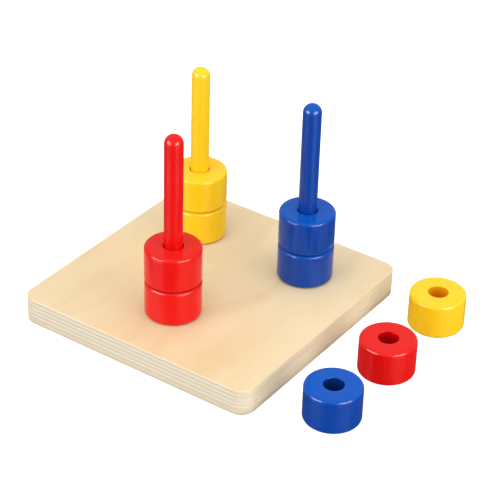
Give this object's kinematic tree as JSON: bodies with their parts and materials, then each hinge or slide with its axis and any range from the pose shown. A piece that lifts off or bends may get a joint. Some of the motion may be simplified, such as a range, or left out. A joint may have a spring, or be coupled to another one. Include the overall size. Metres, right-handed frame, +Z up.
{
  "type": "colour sorting peg stacker",
  "caption": "Square plywood board with upright round-tipped colour pegs, matching bored discs stacked on the pegs, and more matching discs standing loose beside the board.",
  "frame": {"origin": "centre of the board's flat underside, on the surface that the object stands on", "axes": "+Z up along the pegs; +X towards the row of loose discs; +Y from the single red peg towards the yellow and blue pegs"},
  "size_m": [0.2343, 0.1753, 0.145],
  "materials": {
    "birch_plywood": "clear satin lacquer",
    "red_paint": "gloss red paint",
    "yellow_paint": "gloss yellow paint",
    "blue_paint": "gloss blue paint",
    "screw_steel": "zinc-plated steel"
  },
  "bodies": {
    "board": {"base_board": "birch_plywood", "peg_red": "red_paint", "peg_yellow": "yellow_paint", "peg_blue": "blue_paint", "screw_red": "screw_steel", "screw_yellow": "screw_steel", "screw_blue": "screw_steel"},
    "red_lower": {"disc_red_lower": "red_paint"},
    "red_upper": {"disc_red_upper": "red_paint"},
    "red_loose": {"disc_red_loose": "red_paint"},
    "yellow_lower": {"disc_yellow_lower": "yellow_paint"},
    "yellow_upper": {"disc_yellow_upper": "yellow_paint"},
    "yellow_loose": {"disc_yellow_loose": "yellow_paint"},
    "blue_lower": {"disc_blue_lower": "blue_paint"},
    "blue_upper": {"disc_blue_upper": "blue_paint"},
    "blue_loose": {"disc_blue_loose": "blue_paint"}
  },
  "joints": [
    {"name": "lift_red_lower", "type": "slide", "parent": "board", "child": "red_lower", "axis": [0, 0, 1], "range_m": [0, 0.13]},
    {"name": "lift_red_upper", "type": "slide", "parent": "red_lower", "child": "red_upper", "axis": [0, 0, 1], "range_m": [0, 0.106]},
    {"name": "lift_red_loose", "type": "slide", "parent": "board", "child": "red_loose", "axis": [0, 0, 1], "range_m": [0, 0.15]},
    {"name": "lift_yellow_lower", "type": "slide", "parent": "board", "child": "yellow_lower", "axis": [0, 0, 1], "range_m": [0, 0.13]},
    {"name": "lift_yellow_upper", "type": "slide", "parent": "yellow_lower", "child": "yellow_upper", "axis": [0, 0, 1], "range_m": [0, 0.106]},
    {"name": "lift_yellow_loose", "type": "slide", "parent": "board", "child": "yellow_loose", "axis": [0, 0, 1], "range_m": [0, 0.15]},
    {"name": "lift_blue_lower", "type": "slide", "parent": "board", "child": "blue_lower", "axis": [0, 0, 1], "range_m": [0, 0.13]},
    {"name": "lift_blue_upper", "type": "slide", "parent": "blue_lower", "child": "blue_upper", "axis": [0, 0, 1], "range_m": [0, 0.106]},
    {"name": "lift_blue_loose", "type": "slide", "parent": "board", "child": "blue_loose", "axis": [0, 0, 1], "range_m": [0, 0.15]}
  ]
}
